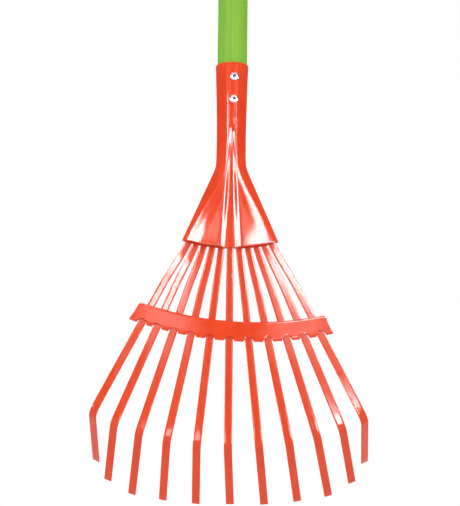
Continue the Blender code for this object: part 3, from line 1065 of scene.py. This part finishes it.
@dataclass
class Tine:
    """A flat spring tine, from its held end in the pocket to its bent tip.

    The tables go by the tine's place from the middle one. INWARD_LEANS and the tip lengths hold for
    both sides, and SET_ASKEW is in degrees, positive for a front face that looks towards -X.
    """

    INWARD_LEANS: ClassVar[dict[int, float]] = {5: math.radians(4.7), 4: math.radians(2.7)}
    SET_ASKEW: ClassVar[dict[int, float]] = {-5: 6.0, -4: 6.0, -3: 4.6, 4: -1.7, 5: -3.0}

    fan: Fan
    number: int
    thickness: float = 1.0 * MM
    knee_width: float = 5.8 * MM
    side_gap: float = 0.5 * MM
    held_length: float = 13.0 * MM
    bend_radius: float = 9.0 * MM
    lead_length: float = 9.0 * MM
    lead_bend: float = math.radians(3.2)
    bend: float = math.radians(55.0)
    outer_extra_bend: float = math.radians(12.9)
    skew: float = math.radians(4.4)
    tip_lengths: tuple[float, ...] = (60.4 * MM, 62.4 * MM, 64.4 * MM, 67.4 * MM, 61.9 * MM, 67.8 * MM)
    edge_radius: float = 0.42 * MM
    flex_length: float = 45.0 * MM
    roll_margin: float = 1.0 * MM
    roll_rise: float = 22.0 * MM
    roll_fall: float = 8.0 * MM
    straight_steps: int = 34
    lead_steps: int = 6
    bend_steps: int = 18
    tip_steps: int = 8
    columns: int = 4

    def __post_init__(self) -> None:
        """Take the tine's hinge from the frame."""
        self.index = self.number - 1 - self.fan.outer_index
        self.body = f"tine_{self.number:02d}"
        joint = next(item for item in frame["joints"] if item["child"] == self.body)
        self.hinge = Vector(joint["pos_m"])
        self.split = math.hypot(self.hinge.x - self.fan.apex.x, self.hinge.z - self.fan.apex.z)
        self.start = self.fan.lip_radius - self.held_length
        outer = self.fan.outer_index
        tangent = self.fan.pitch_tan * outer * (1.0 - self.fan.gather_share)
        self.step = math.atan(tangent) - math.atan(tangent * (outer - 1) / outer)

    @property
    def tip_length(self) -> float:
        """Length from the knee to the tip's end."""
        return self.tip_lengths[abs(self.index)]

    @property
    def lean(self) -> float:
        """Twist at the knee: every tip leans a little to +X, and the outer ones also inwards."""
        inward = self.INWARD_LEANS.get(abs(self.index), 0.0)
        return self.skew - math.copysign(inward, self.index)

    def width(self, radius: float) -> float:
        """Width across: widest at the knee, narrower at the lip and where it is held.

        Args:
            radius: Distance from the apex.

        Returns:
            The width.
        """
        lip = self.fan.lip_radius
        lip_width = lip * self.step - self.side_gap
        held_width = self.start * self.step - self.side_gap
        if radius < lip:
            return held_width + (lip_width - held_width) * (radius - self.start) / (lip - self.start)
        part = min(1.0, (radius - lip) / (self.fan.knee_distance - lip))
        return lip_width + (self.knee_width - lip_width) * math.sqrt(part)

    def roll(self, radius: float) -> float:
        """Turn of the held length about itself: the outer tines are set a little askew, outwards.

        Args:
            radius: Distance from the apex.

        Returns:
            The turn, which is 0 in the pocket and in the brace.
        """
        set_askew = self.SET_ASKEW.get(self.index, 0.0)
        rise = smoothstep((radius - self.fan.lip_radius - self.roll_margin) / self.roll_rise)
        fall = smoothstep((self.split - self.roll_margin - radius) / self.roll_fall)
        return math.radians(set_askew) * rise * fall

    def section(self, radius: float) -> tuple[Vector, Vector, Vector, Vector]:
        """Frame of the straight part.

        Args:
            radius: Distance from the fan's apex.

        Returns:
            The middle point and the directions along, across and behind the tine, with its twist.
        """
        small = 0.5 * MM
        angle = self.fan.tine_angle(self.index, radius)

        def middle(distance: float) -> Vector:
            """Middle of the tine at a distance from the apex."""
            return self.fan.point(distance, self.fan.tine_angle(self.index, distance))

        along = (middle(radius + small) - middle(radius - small)).normalized()
        turn = small / radius
        across = (self.fan.point(radius, angle + turn) - self.fan.point(radius, angle - turn)).normalized()
        behind = along.cross(across).normalized()
        if behind.y < 0:
            behind.negate()
        across = behind.cross(along).normalized()
        part = smoothstep((radius - self.split) / (self.fan.knee_radius(self.index) - self.split))
        twist = Matrix.Rotation(self.lean * part + self.roll(radius), 3, along)
        return middle(radius), along, twist @ across, twist @ behind

    def stations(self) -> list[Station]:
        """Sections from the held end, round the knee, to the tip.

        Returns:
            The sections in order.
        """
        bend = self.bend + (self.outer_extra_bend if abs(self.index) == self.fan.outer_index else 0.0)
        setback = self.bend_radius * math.tan(bend / 2)
        knee = self.fan.knee_radius(self.index) - setback
        stations = []
        for step in range(self.straight_steps + 1):
            radius = self.start + (knee - self.lead_length - self.start) * step / self.straight_steps
            point, along, across, behind = self.section(radius)
            stations.append(Station(point, across, self.width(radius)))
        lead_radius = self.lead_length / self.lead_bend
        for step in range(1, self.lead_steps + 1):
            angle = self.lead_bend * step / self.lead_steps
            offset = along * math.sin(angle) + behind * (1.0 - math.cos(angle))
            stations.append(Station(point + offset * lead_radius, across, self.knee_width))
        foot = stations[-1].point + along * (self.bend_radius * math.sin(self.lead_bend) / 2)
        centre = foot + behind * (self.bend_radius * math.cos(self.lead_bend))
        centre -= along * (self.bend_radius * math.sin(self.lead_bend))
        for step in range(1, self.bend_steps + 1):
            angle = self.lead_bend + (bend - self.lead_bend) * step / self.bend_steps
            sweep = along * math.sin(angle) - behind * math.cos(angle)
            stations.append(Station(centre + sweep * self.bend_radius, across, self.knee_width))
        direction = along * math.cos(bend) + behind * math.sin(bend)
        foot = stations[-1].point
        for step in range(1, self.tip_steps + 1):
            reach = (self.tip_length - setback) * step / self.tip_steps
            stations.append(Station(foot + direction * reach, across, self.knee_width))
        return stations

    def build(self, shop: Workshop) -> None:
        """Lay the strip on its stations and round its edges.

        Args:
            shop: Dresses the strip.
        """
        stations = self.stations()

        def place(column: int, row: int) -> Vector:
            """Point of the strip for a column across it and a row along it."""
            station = stations[row]
            return station.point + station.across * (station.width * (column / self.columns - 0.5))

        strip = mapped_grid(f"{self.body}_strip", self.columns, len(stations) - 1, place)
        add_wall(strip, self.thickness, 0.0)
        add_soft_edges(strip, self.edge_radius, 3)
        apply_modifiers(strip)
        shop.dress(smooth(strip, 60.0), Slot.TINES)
        _, along, _, _ = self.section(self.split)
        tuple(self.hinge)
        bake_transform(strip)
        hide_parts(f"{self.body}_shank", f"{self.body}_blade")


# ---- Brace ----

@dataclass
class Brace:
    """The strip folded over the tines along its lower edge, with a half-round notch for every tine."""

    fan: Fan
    tines: list[Tine]
    drop: float = 134.9 * MM
    shift: float = 0.9 * MM
    skew: float = math.radians(3.1)
    arc_radius: float = 251.0 * MM
    height: float = 14.3 * MM
    end_margin: float = 8.7 * MM
    sheet: float = 0.9 * MM
    clearance: float = 0.4 * MM
    notch_margin: float = 1.0 * MM
    corner_radius: float = 2.6 * MM
    edge_radius: float = 0.16 * MM
    columns: int = 180
    end_crowding: float = 0.12
    leaf_rows: int = 8
    fold_rows: int = 14

    def __post_init__(self) -> None:
        """Work out the fold and the arc's centre."""
        self.fold_radius = (self.tines[0].thickness + 2 * self.clearance + self.sheet) / 2
        self.fold_height = self.fold_radius + self.sheet / 2
        self.centre_x = self.shift + self.arc_radius * math.sin(self.skew)
        self.centre_z = self.fan.apex.z - self.drop + self.arc_radius * math.cos(self.skew)

    def crossing(self, index: int, arc_radius: float) -> float:
        """Find where a tine crosses an arc of the brace.

        Args:
            index: Place of the tine from the middle one.
            arc_radius: The arc's radius.

        Returns:
            Distance of the crossing from the apex.
        """
        angle = self.fan.tine_angle(index, self.fan.knee_distance)
        from_x = self.fan.apex.x - self.centre_x
        from_z = self.fan.apex.z - self.centre_z
        half = from_x * math.sin(angle) - from_z * math.cos(angle)
        rest = from_x ** 2 + from_z ** 2 - arc_radius ** 2
        return -half + math.sqrt(half * half - rest)

    def half_swing(self, arc_radius: float) -> float:
        """Half of an arc's angle: the brace runs past the outer tines by its end margin.

        Args:
            arc_radius: The arc's radius.

        Returns:
            The angle.
        """
        swings = []
        for index in (-self.fan.outer_index, self.fan.outer_index):
            angle = self.fan.tine_angle(index, self.fan.knee_distance)
            across = self.crossing(index, arc_radius) * math.sin(angle)
            swings.append(abs(math.asin((across - self.centre_x) / arc_radius) + self.skew))
        return max(swings) + self.end_margin / arc_radius

    def point(self, share: float, height: float, offset: float) -> Vector:
        """Point of the folded strip.

        Args:
            share: Place along the strip, from -1 to 1.
            height: Height above the lower edge.
            offset: Distance behind the fan's surface.

        Returns:
            The point.
        """
        radius = self.arc_radius - height
        swing = self.half_swing(radius) * share - self.skew
        x = self.centre_x + radius * math.sin(swing)
        z = self.centre_z - radius * math.cos(swing)
        from_apex = math.hypot(x - self.fan.apex.x, z - self.fan.apex.z)
        angle = math.atan2(x - self.fan.apex.x, self.fan.apex.z - z)
        return Vector((x, self.fan.depth(from_apex, angle) + offset, z))

    def sheet_line(self) -> list[Point]:
        """Middle line of the folded sheet: front, fold, back.

        Returns:
            Points as (share of the height over the fold, offset).
        """
        front = [(1.0 - row / self.leaf_rows, -self.fold_radius) for row in range(self.leaf_rows)]
        fold = []
        for row in range(self.fold_rows + 1):
            angle = math.pi * row / self.fold_rows
            fold.append((-math.sin(angle), -self.fold_radius * math.cos(angle)))
        back = [(share, -offset) for share, offset in reversed(front)]
        return front + fold + back

    def shares(self) -> list[float]:
        """Places along the strip, closer together at the rounded ends."""
        even = [2.0 * column / self.columns - 1.0 for column in range(self.columns + 1)]
        return [share + self.end_crowding * (share - share ** 3) for share in even]

    def height_at(self, share: float, part: float) -> float:
        """Height of a row, lowered at the rounded upper corners.

        Args:
            share: Place along the strip.
            part: The row's share of the height over the fold, or below 0 in the fold.

        Returns:
            Height above the lower edge.
        """
        if part <= 0.0:
            return self.fold_height + self.fold_radius * part
        from_end = (1.0 - abs(share)) * self.half_swing(self.arc_radius) * self.arc_radius
        short = max(0.0, 1.0 - from_end / self.corner_radius)
        top = self.height - self.corner_radius * (1.0 - math.sqrt(max(0.0, 1.0 - short * short)))
        return self.fold_height + (top - self.fold_height) * part

    def notch_cutter(self) -> bpy.types.Object:
        """Make one cutter with a round for every notch.

        Returns:
            The cutter.
        """
        bm = bmesh.new()
        for tine in self.tines:
            crossing_width = tine.width(self.crossing(tine.index, self.arc_radius))
            radius = crossing_width / 2 + self.notch_margin
            point, _, _, behind = tine.section(tine.split + radius)
            flat_place = Matrix.Translation(point) @ behind.to_track_quat("Z", "Y").to_matrix().to_4x4()
            bmesh.ops.create_cone(
                bm, cap_ends=True, segments=64, radius1=radius, radius2=radius, depth=12 * MM,
                matrix=flat_place,
            )
        return as_object("brace_notches", bm)

    def build(self, shop: Workshop) -> None:
        """Build the folded strip and cut its notches.

        Args:
            shop: Dresses the strip.
        """
        line = self.sheet_line()
        shares = self.shares()

        def place(column: int, row: int) -> Vector:
            """Point of the strip for a column along it and a row round its fold."""
            part, offset = line[row]
            return self.point(shares[column], self.height_at(shares[column], part), offset)

        strip = mapped_grid("brace_folded", self.columns, len(line) - 1, place)
        add_wall(strip, self.sheet, 0.0)
        cutter = self.notch_cutter()
        add_cut(strip, cutter)
        add_soft_edges(strip, self.edge_radius, 2, 55.0)
        apply_modifiers(strip)
        drop_object(cutter)
        shop.fix(smooth(strip, 50.0), Slot.HEAD, "rake", "brace", own_finish=BRACE_COAT.make())


# ---- Studio ----

@dataclass
class Studio:
    """A pale floor, a white surround, soft panels and the camera."""

    apex: Vector
    aim_drop: float = 45.0 * MM
    floor_z: float = -1.16
    floor_radius: float = 4.0
    pitch: float = math.radians(13.496)
    yaw: float = math.radians(1.76)
    roll: float = math.radians(0.67)
    apex_in_view: Triple = (0.87 * MM, 1184.0 * MM, 67.73 * MM)
    lens: float = 113.83
    sensor: float = 36.0
    surround_light: float = 0.64
    surround_mirrored: float = 0.16

    def add_camera(self) -> None:
        """Stand the camera below the head, looking up at it."""
        turn_yaw = Matrix.Rotation(self.yaw, 3, "Z")
        turn_pitch = Matrix.Rotation(-self.pitch, 3, "X")
        turn_roll = Matrix.Rotation(self.roll, 3, "Y")
        to_view = turn_roll @ turn_pitch @ turn_yaw
        to_world = to_view.transposed()
        right = to_world @ Vector((1, 0, 0))
        forward = to_world @ Vector((0, 1, 0))
        up = to_world @ Vector((0, 0, 1))
        place = Matrix((right, up, -forward)).transposed().to_4x4()
        place.translation = self.apex - to_world @ Vector(self.apex_in_view)
        data = bpy.data.cameras.new("camera")
        data.lens = self.lens
        data.sensor_width = self.sensor
        data.clip_start = 0.05
        data.clip_end = 50.0
        camera = bpy.data.objects.new("camera", data)
        bpy.context.scene.collection.objects.link(camera)
        camera.matrix_world = place
        bpy.context.scene.camera = camera

    def add_floor(self) -> None:
        """Lay a pale round floor that can be seen through from below."""
        bm = bmesh.new()
        bmesh.ops.create_circle(
            bm, cap_ends=True, segments=96, radius=self.floor_radius,
            matrix=Matrix.Translation((0.0, 0.0, self.floor_z)),
        )
        floor = as_object("floor", bm)
        recipe = Recipe("pale_floor")
        recipe.constant(Base_Color=(0.86, 0.86, 0.87, 1.0), Roughness=0.75)
        clear = recipe.add("ShaderNodeBsdfTransparent")
        either = recipe.add("ShaderNodeMixShader")
        output = recipe.tree.nodes["Material Output"]
        recipe.link(recipe.add("ShaderNodeNewGeometry").outputs["Backfacing"], either.inputs["Fac"])
        recipe.link(recipe.shader.outputs["BSDF"], either.inputs[1])
        recipe.link(clear.outputs["BSDF"], either.inputs[2])
        recipe.link(either.outputs["Shader"], output.inputs["Surface"])
        floor.data.materials.append(recipe.material)

    def add_surround(self) -> None:
        """White to look at, softer as light and darker as a reflection."""
        world = bpy.data.worlds.new("surround")
        world.use_nodes = True
        bpy.context.scene.world = world
        tree = world.node_tree
        rays = tree.nodes.new("ShaderNodeLightPath")
        shown = tree.nodes["Background"]
        shown.inputs["Strength"].default_value = self.surround_light
        for ray, strength in (("Is Glossy Ray", self.surround_mirrored), ("Is Camera Ray", 1.0)):
            special = tree.nodes.new("ShaderNodeBackground")
            special.inputs["Strength"].default_value = strength
            either = tree.nodes.new("ShaderNodeMixShader")
            tree.links.new(rays.outputs[ray], either.inputs["Fac"])
            tree.links.new(shown.outputs[0], either.inputs[1])
            tree.links.new(special.outputs["Background"], either.inputs[2])
            shown = either
        for node in tree.nodes:
            if node.bl_idname == "ShaderNodeBackground":
                node.inputs["Color"].default_value = (1.0, 1.0, 1.0, 1.0)
        tree.links.new(shown.outputs[0], tree.nodes["World Output"].inputs["Surface"])

    def add_panel(
        self, name: str, azimuth: float, elevation: float, distance: float, size: tuple[float, float],
        power: float, tilt: float = 0.0, for_gloss: bool = True, for_matt: bool = True,
    ) -> None:
        """Hang a soft panel that faces a point a little below the fan's apex.

        Args:
            name: The light's name.
            azimuth: Degrees from -Y towards +X.
            elevation: Degrees over the horizon.
            distance: Distance from that point.
            size: Width and height.
            power: Light power in watts.
            tilt: Degrees that it is turned about its own axis.
            for_gloss: Whether reflections show it.
            for_matt: Whether it lights matt surfaces.
        """
        data = bpy.data.lights.new(name, "AREA")
        data.shape = "RECTANGLE"
        data.size, data.size_y = size
        data.energy = power
        turn, rise = math.radians(azimuth), math.radians(elevation)
        level = math.cos(rise)
        outward = Vector((math.sin(turn) * level, -math.cos(turn) * level, math.sin(rise)))
        middle = self.apex - Vector((0.0, 0.0, self.aim_drop))
        panel = bpy.data.objects.new(name, data)
        facing = outward.to_track_quat("Z", "Y").to_matrix().to_4x4()
        turned_panel = facing @ Matrix.Rotation(math.radians(tilt), 4, "Z")
        panel.matrix_world = Matrix.Translation(middle + outward * distance) @ turned_panel
        panel.visible_camera = False
        panel.visible_glossy = for_gloss
        panel.visible_diffuse = for_matt
        bpy.context.scene.collection.objects.link(panel)

    def build(self) -> None:
        """Set the studio up."""
        bpy.context.scene.view_settings.view_transform = "Standard"
        self.add_camera()
        self.add_floor()
        self.add_surround()
        self.add_panel("left_key", -40.0, 30.0, 3.0, (1.6, 1.6), 16.0, for_gloss=False)
        self.add_panel("right_key", 40.0, 30.0, 3.0, (1.6, 1.6), 16.0, for_gloss=False)
        self.add_panel("back_fill", 170.0, 25.0, 3.0, (2.0, 2.0), 30.0)
        self.add_panel("left_gloss", -23.5, 18.8, 0.55, (0.228, 0.057), 1.9, tilt=-20.8, for_matt=False)
        self.add_panel("left_inner", -16.3, 14.5, 2.0, (0.26, 0.13), 4.9, for_matt=False)
        self.add_panel("right_gloss", 24.2, 15.0, 1.1, (0.64, 0.14), 13.0, tilt=3.5, for_matt=False)
        self.add_panel("left_side", -57.0, 4.0, 5.0, (3.1, 0.8), 350.0, for_matt=False)
        self.add_panel("right_side", 66.0, 4.0, 5.0, (1.9, 0.8), 210.0, for_matt=False)
        self.add_panel("left_wash", -7.5, 8.5, 1.1, (0.155, 0.135), 0.42, for_matt=False)
        self.add_panel("right_wash", 11.8, 7.5, 1.1, (0.163, 0.115), 0.28, for_matt=False)
        self.add_panel("left_low", -13.5, -5.0, 1.1, (0.175, 0.10), 1.0, for_matt=False)
        self.add_panel("right_low", 13.4, -4.0, 1.1, (0.18, 0.135), 3.6, for_matt=False)
        self.add_panel("right_tip", 20.6, 1.0, 1.1, (0.08, 0.08), 0.92, for_matt=False)
        self.add_panel("top_gloss", 0.0, 55.0, 3.0, (5.0, 3.9), 42.0, for_matt=False)


def main() -> None:
    """Build every sub-assembly in turn."""
    logging.basicConfig(level=logging.INFO, format="%(name)s: %(message)s")
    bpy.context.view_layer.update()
    shop = Workshop()
    shop.finish(Slot.HEAD, PowderCoat())
    shop.finish(Slot.TINES, TINE_COAT)
    shop.finish(Slot.HANDLE, TubePaint())
    shop.finish(Slot.CAP, MouldedPlastic())
    shop.finish(Slot.RIVET, ALUMINIUM)
    shop.finish(Slot.MANDREL, MANDREL_STEEL_AND_HOLE_SHADE)

    socket = Socket()
    rivets = [BlindRivet("rivet_upper", socket), BlindRivet("rivet_lower", socket)]
    heights = [rivet.height for rivet in rivets]
    hole_radius = rivets[0].hole_radius
    socket.build(shop, heights, hole_radius)
    for rivet in rivets:
        rivet.build(shop)
    handle = Handle(socket)
    handle.build_tube(shop, heights, hole_radius)
    handle.build_cap(shop)
    fan = Fan(socket)
    tines = [Tine(fan, number) for number in range(1, fan.count + 1)]
    for tine in tines:
        tine.build(shop)
    Brace(fan, tines).build(shop)
    Studio(fan.apex).build()

    for piece in shop.pieces:
        LOG.info("%s: %d faces", piece.name, len(piece.data.polygons))


if __name__ == "__main__":
    main()
